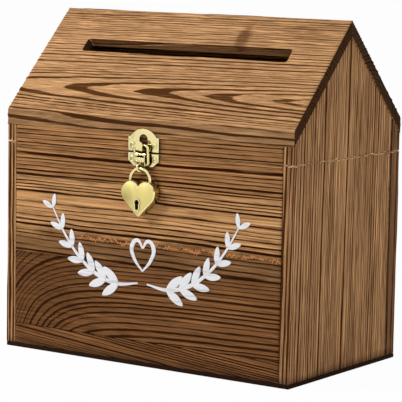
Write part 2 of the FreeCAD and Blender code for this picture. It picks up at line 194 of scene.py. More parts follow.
def colour_property(name, description, default):
    """Colour in linear red, green and blue."""
    return FloatVectorProperty(name=name, description=description, default=default,
                               subtype="COLOR", size=3, min=0.0, max=1.0)


def length_property(name, description, default):
    """Length in metres."""
    return FloatProperty(name=name, description=description, default=default,
                         subtype="DISTANCE", unit="LENGTH", min=0.0, precision=5)


def shift_property(name, description, default):
    """Length in metres that may also be negative."""
    return FloatProperty(name=name, description=description, default=default,
                         subtype="DISTANCE", unit="LENGTH", precision=5)


def factor_property(name, description, default):
    """Share from 0 to 1."""
    return FloatProperty(name=name, description=description, default=default,
                         subtype="FACTOR", min=0.0, max=1.0)


def angle_property(name, description, degrees):
    """Angle whose default is given in degrees."""
    return FloatProperty(name=name, description=description, default=math.radians(degrees),
                         subtype="ANGLE", unit="ROTATION")


def power_property(name, description, default):
    """Power of a lamp in watts."""
    return FloatProperty(name=name, description=description, default=default,
                         subtype="POWER", unit="POWER", min=0.0)


class CardBoxWood(bpy.types.PropertyGroup):
    """Colours and sizes of the torched boards."""

    roof_light: colour_property("Roof Light", "Soft wood between the roof's lines", (0.585, 0.32, 0.146))
    roof_dark: colour_property("Roof Dark", "Burnt lines of the roof", (0.085, 0.030, 0.007))
    front_light: colour_property("Front Light", "Soft wood, top front and rear", (0.41, 0.20, 0.078))
    front_dark: colour_property("Front Dark", "Burnt lines, upper front and rear", (0.028, 0.006, 0.0005))
    middle_light: colour_property("Middle Light", "Soft wood, middle front", (0.56, 0.295, 0.122))
    low_light: colour_property("Lower Light", "Soft wood of the lower front boards", (0.225, 0.098, 0.036))
    low_dark: colour_property("Lower Dark", "Burnt lines of the lower front boards", (0.032, 0.010, 0.002))
    side_light: colour_property("Side Light", "Soft wood of the sides", (0.50, 0.272, 0.125))
    side_dark: colour_property("Side Dark", "Burnt lines of the sides", (0.060, 0.017, 0.003))
    strip_light: colour_property("Strip Light", "Rear edge strips", (0.25, 0.128, 0.062))
    end_colour: colour_property("End Grain", "Charred end grain", (0.020, 0.007, 0.002))
    torn_colour: colour_property("Torn Fibre", "Bare torn fibre at the rough joint", (0.50, 0.20, 0.068))
    saw_colour: colour_property("Saw Cut", "Bare wood along the saw cut of the lid", (0.92, 0.62, 0.32))
    base_colour: colour_property("Base Edge", "Charred base board and foot", (0.022, 0.010, 0.006))
    arris: length_property("Arris", "Rounding of the boards' edges", 0.0004)
    relief: length_property("Relief", "Depth of the brushed grain", 0.0004)


class CardBoxBrass(bpy.types.PropertyGroup):
    """Colours and edges of the metal parts."""

    latch_colour: colour_property("Latch Brass", "Plated latch, hinges and shackle", (0.86, 0.75, 0.38))
    lock_colour: colour_property("Lock Brass", "Satin face of the padlock", (0.73, 0.61, 0.225))
    steel_colour: colour_property("Steel", "Nails and the inner parts of the lock", (0.55, 0.54, 0.52))
    latch_gloss: factor_property("Latch Roughness", "Roughness of the latch, hinges, shackle and nails", 0.16)
    edge_gloss: factor_property("Polish Roughness", "Roughness of the padlock's polished edge", 0.2)
    lock_gloss: factor_property("Lock Roughness", "Roughness of the padlock's face and inner parts", 0.36)
    edge: length_property("Edge", "Rounding of the metal's edges", 0.00022)


class CardBoxOrnament(bpy.types.PropertyGroup):
    """White painted sprigs on the front."""

    paint: colour_property("Paint", "White paint", (0.78, 0.78, 0.80))
    thin_paint: colour_property("Thin Paint", "Where the grain shows through", (0.55, 0.54, 0.55))
    thick: length_property("Thickness", "Height of the paint above the wood", 0.00012)


class CardBoxStage(bpy.types.PropertyGroup):
    """Camera and light."""

    azimuth: angle_property("Azimuth", "Camera's turn round the box", 34.4986)
    elevation: angle_property("Elevation", "Camera's height above the horizon", 7.2857)
    roll: angle_property("Roll", "Camera's tilt", 0.9958)
    distance: length_property("Distance", "From the camera to the middle of the box", 1.58393)
    slide: shift_property("Slide", "Camera's shift to the right", -0.000355)
    rise: shift_property("Rise", "Camera's shift upwards", -0.01216)
    aim_height: length_property("Aim Height", "Height of the point the camera turns about", 0.125)
    lens: FloatProperty(name="Lens", description="Focal length in millimetres", default=192.02, min=1.0)
    room: FloatProperty(name="Room Light", description="Strength of the light from all round",
                        default=0.42, min=0.0)
    key: power_property("Key Light", "Power of the lamp from the left", 18.0)
    fill: power_property("Fill Light", "Power of the lamp from the right", 5.0)
    floor_glow: factor_property("Floor White", "How far the floor is lifted to white", 0.97)


def add(tree, kind, inputs=None, **settings):
    """New node with its settings, its constant inputs and its links."""
    made = tree.nodes.new(kind)
    for key, value in settings.items():
        setattr(made, key, value)
    for key, value in (inputs or {}).items():
        if isinstance(value, bpy.types.NodeSocket):
            tree.links.new(value, made.inputs[key])
        else:
            made.inputs[key].default_value = value
    return made


def calc(tree, operation, first, second=0.0, clamp=False):
    """Result of one operation on one or two values."""
    return add(tree, "ShaderNodeMath", {0: first, 1: second}, operation=operation, use_clamp=clamp).outputs[0]


def swing(tree, value, middle, gain):
    """How far a value is from its middle, times a gain."""
    return calc(tree, "MULTIPLY", calc(tree, "SUBTRACT", value, middle), gain)


def smooth_step(tree, value, start, end, low=0.0, high=1.0):
    """Eases from low to high while a value goes from start to end."""
    made = add(tree, "ShaderNodeMapRange", {"Value": value, "From Min": start, "From Max": end,
                                            "To Min": low, "To Max": high}, interpolation_type="SMOOTHSTEP")
    return made.outputs["Result"]


def stretched(tree, place, factors):
    """Place with each axis multiplied by its own factor."""
    made = add(tree, "ShaderNodeVectorMath", {0: place, 1: factors}, operation="MULTIPLY")
    return made.outputs["Vector"]


def speckle(tree, place, scale, detail=2.0, roughness=0.5):
    """Even noise from 0 to 1."""
    made = add(tree, "ShaderNodeTexNoise", {"Vector": place, "Scale": scale, "Detail": detail,
                                            "Roughness": roughness})
    return made.outputs["Fac"]


def streaks(tree, place, scale, detail=2.0, roughness=0.5, x=1.0, z=1.0):
    """Noise from 0 to 1 that a factor below 1 draws out along X or Z."""
    return speckle(tree, stretched(tree, place, (x, 1.0, z)), scale, detail, roughness)


def opaque(colour):
    """Colour for a socket: a link as it is, or plain channels with full alpha."""
    return colour if isinstance(colour, bpy.types.NodeSocket) else (*colour, 1.0)


def blend_colour(tree, factor, first, second):
    """Goes from the first colour to the second; the node's colour sockets are found by number."""
    made = add(tree, "ShaderNodeMix", {0: factor, 6: opaque(first), 7: opaque(second)}, data_type="RGBA")
    return made.outputs[2]


def new_group(name, inputs, outputs):
    """Empty shader node group; returns it with the sockets of what it is given and what it gives."""
    tree = bpy.data.node_groups.new(name, "ShaderNodeTree")
    for label, kind, default in inputs:
        socket = tree.interface.new_socket(label, in_out="INPUT", socket_type=kind)
        if default is not None:
            socket.default_value = default
    for label, kind in outputs:
        tree.interface.new_socket(label, in_out="OUTPUT", socket_type=kind)
    return tree, tree.nodes.new("NodeGroupInput").outputs, tree.nodes.new("NodeGroupOutput").inputs


def log_lines(tree, place, rings):
    """Late wood lines and loose fibre of a log that lies along X, in millimetres."""
    sway = swing(tree, streaks(tree, place, 0.035, 1.0, x=0.16), 0.5, rings["Waviness"])
    shiver = calc(tree, "SUBTRACT", streaks(tree, place, 0.25, 1.0, x=0.12), 0.5)
    parts = add(tree, "ShaderNodeSeparateXYZ", {0: place}).outputs
    decay = calc(tree, "EXPONENT", calc(tree, "DIVIDE", calc(tree, "MULTIPLY", parts["X"], -1.0),
                                        rings["Flare Length"]))
    depth = calc(tree, "ADD", parts["Y"], calc(tree, "MULTIPLY", decay, rings["Flare"]))
    flared = add(tree, "ShaderNodeCombineXYZ", {"Y": depth, "Z": parts["Z"]}).outputs["Vector"]
    across = add(tree, "ShaderNodeVectorMath", {0: flared}, operation="LENGTH").outputs["Value"]
    radius = calc(tree, "ADD", across, calc(tree, "ADD", sway, shiver))
    drift = add(tree, "ShaderNodeTexNoise", {"W": calc(tree, "MULTIPLY", radius, RING_DRIFT_SCALE),
                                             "Scale": 1.0, "Detail": 1.0}, noise_dimensions="1D")
    count = calc(tree, "ADD", calc(tree, "DIVIDE", radius, rings["Ring Spacing"]),
                 calc(tree, "MULTIPLY", drift.outputs["Fac"], RING_DRIFT))
    phase = calc(tree, "FRACT", count)
    own = add(tree, "ShaderNodeTexWhiteNoise", {"W": calc(tree, "FLOOR", count)}, noise_dimensions="1D")
    vigour = smooth_step(tree, own.outputs["Value"], 0.0, 1.0, *LATE_VIGOUR)
    share = smooth_step(tree, own.outputs["Value"], 0.0, 1.0, *LATE_SHARES)
    begin = calc(tree, "SUBTRACT", LATE_END, calc(tree, "MULTIPLY", share, rings["Late Share"]))
    soft = calc(tree, "MULTIPLY", rings["Late Share"], LATE_SOFTNESS)
    rise = smooth_step(tree, phase, begin, calc(tree, "ADD", begin, soft))
    fall = smooth_step(tree, phase, LATE_FADE, 1.0, 1.0, 0.0)
    late = calc(tree, "MULTIPLY", calc(tree, "MULTIPLY", rise, fall), vigour)
    worn = smooth_step(tree, streaks(tree, place, 0.3, x=0.05), 0.25, 0.55, 0.55, 1.0)
    fibre = streaks(tree, place, 1.1, 4.0, 0.7, x=0.035)
    return calc(tree, "MULTIPLY", late, worn), fibre


def grain_group():
    """Growth rings in colour: burnt late wood in dark lines on soft wood with bright threads."""
    tree, given, out = new_group(GRAIN_GROUP, [
        ("Place", "NodeSocketVector", None), ("Ring Spacing", "NodeSocketFloat", 3.5),
        ("Waviness", "NodeSocketFloat", 2.0), ("Flare", "NodeSocketFloat", 0.0),
        ("Flare Length", "NodeSocketFloat", 40.0), ("Late Share", "NodeSocketFloat", 1.0),
        ("Line", "NodeSocketFloat", 1.0), ("Scorch", "NodeSocketFloat", 0.3),
        ("Glint", "NodeSocketFloat", 0.3), ("Light", "NodeSocketColor", None),
        ("Dark", "NodeSocketColor", None), ("Bright", "NodeSocketColor", None)],
        [("Colour", "NodeSocketColor"), ("Ridge", "NodeSocketFloat")])
    place = given["Place"]
    late, fibre = log_lines(tree, place, given)
    burn = swing(tree, streaks(tree, place, 0.03, x=0.25), BURN_MIDDLE, given["Scorch"])
    tone = calc(tree, "MULTIPLY", late, given["Line"])
    tone = calc(tree, "ADD", tone, swing(tree, fibre, FIBRE_MIDDLE, FIBRE_TONE))
    tone = calc(tree, "ADD", tone, burn, clamp=True)
    ridge = calc(tree, "ADD", late, calc(tree, "MULTIPLY", fibre, FIBRE_RIDGE))
    thread = smooth_step(tree, streaks(tree, place, 0.7, 3.0, 0.6, x=0.012), 0.52, 0.66)
    thread = calc(tree, "MULTIPLY", thread, given["Glint"])
    thread = calc(tree, "MULTIPLY", thread, calc(tree, "SUBTRACT", 1.0, late, clamp=True))
    colour = blend_colour(tree, tone, given["Light"], given["Dark"])
    tree.links.new(blend_colour(tree, thread, colour, given["Bright"]), out["Colour"])
    tree.links.new(ridge, out["Ridge"])
    return tree


def relief_tree(name, turn, pith, rings, depth):
    """Geometry nodes that brush the soft wood down between a board's lines."""
    tree = bpy.data.node_groups.new(name, "GeometryNodeTree")
    tree.interface.new_socket("Geometry", in_out="INPUT", socket_type="NodeSocketGeometry")
    tree.interface.new_socket("Geometry", in_out="OUTPUT", socket_type="NodeSocketGeometry")
    at = add(tree, "GeometryNodeInputPosition").outputs["Position"]
    parts = {}
    for label, row, shift in zip("XYZ", turn.to_matrix(), turn @ Vector(pith)):
        along = add(tree, "ShaderNodeVectorMath", {0: at, 1: row / MM}, operation="DOT_PRODUCT")
        parts[label] = calc(tree, "SUBTRACT", along.outputs["Value"], shift)
    place = add(tree, "ShaderNodeCombineXYZ", parts).outputs["Vector"]
    late, _ = log_lines(tree, place, rings)
    worked = add(tree, "GeometryNodeInputNamedAttribute", {"Name": BRUSHED}, data_type="FLOAT")
    hollow = calc(tree, "SUBTRACT", 1.0, late, clamp=True)
    drop = calc(tree, "MULTIPLY", calc(tree, "MULTIPLY", hollow, worked.outputs["Attribute"]), -depth)
    normal = add(tree, "GeometryNodeInputNormal").outputs["Normal"]
    move = add(tree, "ShaderNodeVectorMath", {0: normal, "Scale": drop}, operation="SCALE").outputs["Vector"]
    given = tree.nodes.new("NodeGroupInput").outputs["Geometry"]
    brushed = add(tree, "GeometryNodeSetPosition", {"Geometry": given, "Offset": move}).outputs["Geometry"]
    tree.links.new(brushed, tree.nodes.new("NodeGroupOutput").inputs["Geometry"])


def torn_group():
    """Mask of torn fibres along a level joint, in millimetres."""
    tree, given, out = new_group(TORN_GROUP, [
        ("Place", "NodeSocketVector", None), ("Level", "NodeSocketFloat", 0.0),
        ("Half Width", "NodeSocketFloat", 1.0), ("Raggedness", "NodeSocketFloat", 1.0),
        ("Start", "NodeSocketFloat", FAR_LEFT)],
        [("Mask", "NodeSocketFloat")])
    place = given["Place"]
    parts = add(tree, "ShaderNodeSeparateXYZ", {0: place}).outputs
    slow = streaks(tree, place, 0.16, 4.0, 0.7, z=0.25)
    quick = streaks(tree, place, 0.9, z=0.1)
    wander = swing(tree, calc(tree, "ADD", slow, quick), 1.0, given["Raggedness"])
    level = calc(tree, "ADD", given["Level"], wander)
    off = calc(tree, "ABSOLUTE", calc(tree, "SUBTRACT", parts["Z"], level))
    patch = smooth_step(tree, streaks(tree, place, 0.11, 3.0, 0.6, z=0.5), 0.38, 0.58)
    width = calc(tree, "MULTIPLY", given["Half Width"], calc(tree, "ADD", patch, 0.25))
    mask = calc(tree, "SUBTRACT", 1.0, calc(tree, "DIVIDE", off, width), clamp=True)
    begun = smooth_step(tree, calc(tree, "SUBTRACT", parts["X"], given["Start"]), 0.0, TORN_ONSET)
    tree.links.new(calc(tree, "MULTIPLY", smooth_step(tree, mask, 0.0, 0.5), begun), out["Mask"])
    return tree


def foot_darkening_group():
    """Mask that darkens the box towards its foot, in millimetres of height."""
    tree, given, out = new_group(FOOT_GROUP, [
        ("Place", "NodeSocketVector", None), ("Height", "NodeSocketFloat", FOOT_HEIGHT)],
        [("Mask", "NodeSocketFloat")])
    parts = add(tree, "ShaderNodeSeparateXYZ", {0: given["Place"]}).outputs
    patch = streaks(tree, given["Place"], 0.05, 3.0, z=0.3)
    top = calc(tree, "MULTIPLY", given["Height"], calc(tree, "ADD", patch, 0.5))
    mask = calc(tree, "SUBTRACT", 1.0, calc(tree, "DIVIDE", parts["Z"], top), clamp=True)
    tree.links.new(mask, out["Mask"])
    return tree


def use_group(tree, name, maker, inputs):
    """Outputs of a node for a shared group, which its maker builds the first time."""
    group = bpy.data.node_groups.get(name) or maker()
    return add(tree, "ShaderNodeGroup", inputs, node_tree=group).outputs


def blank_material(name):
    """New material with its node tree and its surface shader."""
    made = bpy.data.materials.new(name)
    made.use_nodes = True
    tree = made.node_tree
    tree.nodes.clear()
    surface = add(tree, "ShaderNodeBsdfPrincipled")
    add(tree, "ShaderNodeOutputMaterial", {"Surface": surface.outputs["BSDF"]})
    return made, tree, surface


def set_surface(tree, shader):
    """Gives a material another shader than its surface's own."""
    output = next(n for n in tree.nodes if n.type == "OUTPUT_MATERIAL")
    tree.links.new(shader, output.inputs["Surface"])


def torched_wood(name, light, dark, pith, way, spacing, waviness, line=1.0, scorch=0.3,
                 flare=0.0, flare_length=40.0, glint=0.6, late=1.0, torn=None, cut=False, patches=()):
    """Board cut from a log whose pith passes through a point along a way, in millimetres.

    The pith bends away by flare, which dies out over flare_length. A board may be torn at a height, cut
    where the lid was sawn off, and darkened in patches, some of them painted shadow.
    """
    look = bpy.context.scene.card_box_wood
    made, tree, surface = blank_material(name)
    place = add(tree, "ShaderNodeTexCoord").outputs["Object"]
    millimetres = add(tree, "ShaderNodeMapping", {"Vector": place, "Scale": (1 / MM,) * 3}).outputs["Vector"]
    turn = Vector(way).normalized().rotation_difference(Vector(ALONG))
    log = add(tree, "ShaderNodeMapping", {"Vector": millimetres, "Rotation": turn.to_euler("XYZ"),
                                          "Location": -(turn @ Vector(pith))}).outputs["Vector"]
    rings = {"Ring Spacing": spacing, "Waviness": waviness, "Flare": flare, "Flare Length": flare_length,
             "Late Share": late}
    relief_tree(name + RELIEF, turn, pith, rings, look.relief)
    bright = tuple(min(1.0, channel * BRIGHT_FIBRE) for channel in light)
    grain = use_group(tree, GRAIN_GROUP, grain_group, {
        "Place": log, "Line": line, "Scorch": scorch, "Glint": glint, "Light": opaque(light),
        "Dark": opaque(dark), "Bright": opaque(bright), **rings})
    colour, ridge = grain["Colour"], grain["Ridge"]
    if patches:
        colour = darkened_by_scorch_and_shadow(tree, millimetres, colour, patches)
    ends = add(tree, "ShaderNodeAttribute", attribute_name=END_GRAIN).outputs["Fac"]
    charred = calc(tree, "MULTIPLY", calc(tree, "MAXIMUM", ends, 0.0), CHAR_STRENGTH)
    colour = blend_colour(tree, charred, colour, look.end_colour)
    rim = calc(tree, "MULTIPLY", ends, -1.0, clamp=True)
    colour = blend_colour(tree, calc(tree, "MULTIPLY", rim, SAW_STRENGTH), colour, look.saw_colour)
    # Every board grows darker towards the foot of the box
    foot = use_group(tree, FOOT_GROUP, foot_darkening_group, {"Place": millimetres})
    colour = blend_colour(tree, calc(tree, "MULTIPLY", foot["Mask"], FOOT_STRENGTH), colour, look.base_colour)
    if torn:
        rough = use_group(tree, TORN_GROUP, torn_group, {
            "Place": millimetres, "Level": torn, "Half Width": TORN_HALF_WIDTH,
            "Raggedness": TORN_RAGGEDNESS, "Start": TORN_INSET - inner_half})
        colour = blend_colour(tree, rough["Mask"], colour, look.torn_colour)
        ridge = calc(tree, "ADD", ridge, rough["Mask"])
    if cut:
        sawn = use_group(tree, TORN_GROUP, torn_group, {
            "Place": millimetres, "Level": split_z, "Half Width": SAW_HALF_WIDTH,
            "Raggedness": SAW_RAGGEDNESS})
        outside = calc(tree, "SUBTRACT", 1.0, rim)
        colour = blend_colour(tree, calc(tree, "MULTIPLY", sawn["Mask"], outside), colour, look.saw_colour)
    bump = add(tree, "ShaderNodeBump", {"Height": ridge, "Distance": look.relief, "Strength": RIDGE_BUMP})
    tree.links.new(colour, surface.inputs["Base Color"])
    tree.links.new(bump.outputs["Normal"], surface.inputs["Normal"])
    surface.inputs["Roughness"].default_value = WOOD_ROUGHNESS
    surface.inputs["Specular IOR Level"].default_value = WOOD_SHINE
    return made


def metal(name, colour, roughness, waves=0.0, dome=None):
    """Plated metal with faint wear in its gloss and painted shade in its corners; waves bend the sheet and
    dome swells it about a point.
    """
    made, tree, surface = blank_material(name)
    place = add(tree, "ShaderNodeTexCoord").outputs["Object"]
    wear = speckle(tree, place, WEAR_SCALE, 3.0)
    gloss = smooth_step(tree, wear, 0.3, 0.7, roughness * (1.0 - WEAR_SPREAD),
                        roughness * (1.0 + WEAR_SPREAD))
    tree.links.new(gloss, surface.inputs["Roughness"])
    # Painted shade: ambient occlusion darkens the colour in corners and crevices, where shade falls
    corner = add(tree, "ShaderNodeAmbientOcclusion", {"Distance": CORNER_REACH}, samples=CORNER_SAMPLES)
    painted_crevice_shade = smooth_step(tree, corner.outputs["AO"], 0.3, 0.95, 1.0, 0.0)
    shade = tuple(channel * share for channel, share in zip(colour, CREVICE_SHADE_SHARES))
    tree.links.new(blend_colour(tree, painted_crevice_shade, colour, shade), surface.inputs["Base Color"])
    surface.inputs["Metallic"].default_value = 1.0
    height = None
    if waves:
        height = calc(tree, "MULTIPLY", speckle(tree, place, WAVE_SCALE, 1.0), waves)
    if dome:
        off = add(tree, "ShaderNodeVectorMath", {0: place, 1: dome}, operation="DISTANCE").outputs["Value"]
        height = calc(tree, "MULTIPLY", calc(tree, "POWER", off, 2.0), -DOME_CURVE)
    if height:
        bump = add(tree, "ShaderNodeBump", {"Height": height, "Distance": 1.0, "Strength": 1.0})
        tree.links.new(bump.outputs["Normal"], surface.inputs["Normal"])
    return made


def darkened_by_scorch_and_shadow(tree, place, colour, patches):
    """Colour of a board after it has been darkened in ragged patches, for scorch, dark joints and painted
    shadow.
    """
    uneven = swing(tree, streaks(tree, place, 0.16, 3.0, 0.65, x=0.4), 0.5, SCORCH_RAGGEDNESS)
    for patch in patches:
        moved = add(tree, "ShaderNodeVectorMath", {0: place, 1: patch.centre}, operation="SUBTRACT")
        shaped = stretched(tree, moved.outputs["Vector"], tuple(1.0 / reach for reach in patch.reach))
        far = add(tree, "ShaderNodeVectorMath", {0: shaped}, operation="LENGTH").outputs["Value"]
        mask = smooth_step(tree, calc(tree, "ADD", far, uneven), 0.3, 1.0, patch.strength, 0.0)
        colour = blend_colour(tree, mask, colour, patch.tint)
    return colour


def placed(name, data):
    """New object in the scene."""
    made = bpy.data.objects.new(name, data)
    bpy.context.scene.collection.objects.link(made)
    return made


def mesh_from(shape, name):
    """Mesh with the faces of a finished shape, which is freed."""
    mesh = bpy.data.meshes.new(name)
    shape.to_mesh(mesh)
    shape.free()
    return mesh


def char_of_face(face, grain, toned):
    """How charred a face is: 1 on the grain's ends, -1 where the lid was sawn off, toned on one side."""
    height = face.calc_center_median().z
    if abs(face.normal.z) > FLAT_FRONT and abs(height - split_z * MM) < SAW_REACH * MM:
        return -1.0
    if abs(face.normal.dot(Vector(grain))) > ACROSS_GRAIN:
        return 1.0
    if toned and face.normal.dot(Vector(toned[0])) > ACROSS_GRAIN:
        return toned[1]
    return 0.0


def sliced(shape, faces, way, step):
    """Cuts faces into strips of about the given width, in millimetres, and returns the strips."""
    levels = [v.co.dot(way) for face in faces for v in face.verts]
    low, high = min(levels), max(levels)
    count = max(1, int((high - low) / (step * MM)))
    done, rest = [], list(faces)
    for i in range(1, count):
        level = low + (high - low) * i / count
        around = {e for face in rest for e in face.edges}
        corners = {v for face in rest for v in face.verts}
        cut = bmesh.ops.bisect_plane(shape, geom=[*corners, *around, *rest], dist=CUT_REACH * MM,
                                     plane_co=way * level, plane_no=way)
        pieces = [item for item in cut["geom"] if isinstance(item, bmesh.types.BMFace)]
        rest = [face for face in pieces if face.calc_center_median().dot(way) > level]
        done += [face for face in pieces if face.calc_center_median().dot(way) <= level]
    return done + rest


def grid_faces(shape, grain, sides):
    """Cuts the sides of a board that are brushed into a grid along its grain and marks their points."""
    layer = shape.verts.layers.float.new(BRUSHED)
    for side in sides:
        way = Vector(side).normalized()
        found = [face for face in shape.faces if face.normal.dot(way) > FLAT_FRONT]
        if not found:
            continue
        strips = sliced(shape, found, Vector(grain), BRUSH_LENGTH)
        for face in sliced(shape, strips, way.cross(Vector(grain)), BRUSH_WIDTH):
            for v in face.verts:
                v[layer] = 1.0


def brushed_mesh(holder, name):
    """Mesh of an object after its board's relief has been worked into it."""
    work = holder.modifiers.new("relief", "NODES")
    work.node_group = bpy.data.node_groups[name + RELIEF]
    graph = bpy.context.evaluated_depsgraph_get()
    made = bpy.data.meshes.new_from_object(holder.evaluated_get(graph), preserve_all_data_layers=True,
                                           depsgraph=graph)
    holder.modifiers.remove(work)
    return made


def finished_copy(node, suffix, material, rounding, least, grain=None, toned=None, sides=()):
    """Merged copy of a CAD node that stands in for it, with edges over least millimetres rounded."""
    source = frame["nodes"][node]
    shape = bmesh.new()
    shape.from_mesh(source.data)
    bmesh.ops.remove_doubles(shape, verts=shape.verts, dist=MERGE_REACH * MM)
    bmesh.ops.dissolve_limit(shape, angle_limit=FLAT_ANGLE, verts=shape.verts, edges=shape.edges)
    ways = [Vector(side).normalized() for side in sides]
    sharp = [e for e in shape.edges
             if e.is_manifold and e.calc_face_angle(0.0) > SHARP_ANGLE and e.calc_length() > least * MM
             and not any(f.normal.dot(way) > FLAT_FRONT for f in e.link_faces for way in ways)]
    if rounding > 0.0 and sharp:
        bmesh.ops.bevel(shape, geom=sharp, offset=rounding, offset_type="OFFSET", affect="EDGES",
                        segments=2, profile=0.5, material=-1, clamp_overlap=True)
    shape.normal_update()
    if grain:
        layer = shape.faces.layers.float.new(END_GRAIN)
        for face in shape.faces:
            face[layer] = char_of_face(face, grain, toned)
        grid_faces(shape, grain, sides)
    mesh = mesh_from(shape, node + suffix)
    mesh.shade_smooth()
    mesh.set_sharp_from_angle(angle=SHARP_ANGLE)
    mesh.materials.clear()
    mesh.materials.append(material)
    made = placed(node + suffix, mesh)
    if sides:
        made.data = brushed_mesh(made, material.name)
        made.data.name = node + suffix
        bpy.data.meshes.remove(mesh)
    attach(made, source["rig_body"])
    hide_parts(node)
    return made


def finished_board(node, material, grain, sides=(), toned=None):
    """Board with its grain's way, its brushed sides and, as a way and a value, one side that is toned."""
    arris = bpy.context.scene.card_box_wood.arris
    return finished_copy(node, "_wood", material, arris, LEAST_WOOD_EDGE, grain, toned, sides)


def finished_metal(node, material):
    """Metal piece with rounded edges."""
    edge = bpy.context.scene.card_box_brass.edge
    return finished_copy(node, "_metal", material, edge, LEAST_METAL_EDGE)


class CARDBOX_OT_front_boards(bpy.types.Operator):
    """Front panel: four boards with level grain, the lower one flat sawn with arched lines"""

    bl_idname = "cardbox.front_boards"
    bl_label = "Front Boards"

    def execute(self, context):
        look = context.scene.card_box_wood
        dark = look.front_dark
        # Painted shadow: the wood round and behind the latch plates is darkened towards the char colour, as
        # shade cast by the plates and hook
        latch_shadow = Patch(centre=(0.0, front_y, split_z + 1.0), reach=(19.0, 60.0, 22.0), strength=0.85,
                       tint=look.end_colour)
        top = torched_wood("front_top_wood", look.front_light, dark,
                           pith=(0.0, front_y + 22.0, split_z - 190.0), way=(1.0, 0.0, 0.004),
                           spacing=3.0, waviness=3.0, line=1.25, scorch=0.5, patches=[latch_shadow])
        band = Patch(centre=(0.0, front_y, (joint_z + torn_z) / 2), reach=(500.0, 100.0, 17.0), strength=0.6,
                     tint=dark)
        middle = torched_wood("front_middle_wood", look.middle_light, dark,
                              pith=(0.0, front_y + 40.0, shelf_z + 110.0), way=(1.0, 0.0, -0.006),
                              spacing=3.6, waviness=4.0, line=1.25, scorch=0.7, torn=torn_z, patches=[band])
        core = Patch(centre=(-105.0, front_y, 50.0), reach=(85.0, 200.0, 70.0), strength=0.36,
                     tint=look.low_dark)
        lower = torched_wood("front_lower_wood", look.low_light, look.low_dark,
                             pith=(-inner_half, front_y + 3.0, strip_z - 22.0), way=(1.0, 0.0, 0.01),
                             spacing=3.4, waviness=3.0, line=1.3, scorch=0.4, flare=-64.0, flare_length=56.0,
                             patches=[core])
        strip = torched_wood("front_strip_wood", look.low_light, look.low_dark,
                             pith=(0.0, front_y + 30.0, strip_z - 140.0), way=(1.0, 0.0, -0.09),
                             spacing=1.9, waviness=1.5, line=1.4, scorch=0.2)
        for node, material in (("front_top_board", top), ("lid_front_rail", top),
                               ("front_middle_board", middle), ("front_lower_board", lower),
                               ("front_bottom_strip", strip)):
            finished_board(node, material, ALONG, [FRONT])
        return {"FINISHED"}


class CARDBOX_OT_rear_boards(bpy.types.Operator):
    """Rear panel, rear rail and the charred base board"""

    bl_idname = "cardbox.rear_boards"
    bl_label = "Rear Boards and Base"

    def execute(self, context):
        look = context.scene.card_box_wood
        light, dark = look.front_light, look.front_dark
        upper = torched_wood("rear_upper_wood", light, dark,
                             pith=(0.0, rear_y - 30.0, split_z + 150.0), way=(1.0, 0.02, 0.008),
                             spacing=3.6, waviness=4.0)
        lower = torched_wood("rear_lower_wood", light, dark,
                             pith=(inner_half, rear_y - 3.0, strip_z + 22.0), way=(-1.0, 0.0, 0.02),
                             spacing=4.0, waviness=5.0, flare=-70.0, flare_length=70.0)
        base = torched_wood("base_wood", look.end_colour, look.base_colour,
                            pith=(0.0, 40.0, -80.0), way=ALONG, spacing=3.0, waviness=3.0)
        for node, material in (("rear_upper_board", upper), ("lid_rear_rail", upper),
                               ("rear_lower_board", lower)):
            finished_board(node, material, ALONG, [REAR])
        finished_board("base_board", base, ALONG)
        return {"FINISHED"}


class CARDBOX_OT_side_boards(bpy.types.Operator):
    """Sides and gables with upright grain that runs on through the saw cut, and their rear edge strips"""

    bl_idname = "cardbox.side_boards"
    bl_label = "Side Boards and Gables"

    def execute(self, context):
        look = context.scene.card_box_wood
        strip_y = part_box("right_side_edge_strip")[0].y / MM
        for name, side in (("left", -1.0), ("right", 1.0)):
            joint = Patch(centre=(side * half_width, strip_y, split_z), reach=(60.0, 3.0, 2000.0),
                          strength=0.9, tint=look.end_colour)
            corner = Patch(centre=(side * half_width, front_y, split_z), reach=(60.0, 4.0, 2000.0),
                           strength=0.15, tint=look.side_dark)
            board = torched_wood(name + "_side_wood", look.side_light, look.side_dark,
                                 pith=(side * (half_width - 120.0), front_y - 130.0, 0.0),
                                 way=(0.012, 0.01, 1.0),
                                 spacing=2.3, waviness=2.0, line=1.25, scorch=0.9, glint=0.9, cut=True,
                                 patches=[joint, corner])
            strip = torched_wood(name + "_strip_wood", look.strip_light, look.side_dark,
                                 pith=(side * (half_width - 30.0), rear_y + 60.0, 0.0), way=(0.0, 0.02, 1.0),
                                 spacing=4.5, waviness=3.0, line=0.7, scorch=0.6, cut=True)
            for node, material in ((name + "_side_board", board), (name + "_gable", board),
                                   (name + "_side_edge_strip", strip), (name + "_gable_edge_strip", strip)):
                finished_board(node, material, UPRIGHT, [(side, 0.0, 0.0), FRONT, REAR])
        return {"FINISHED"}


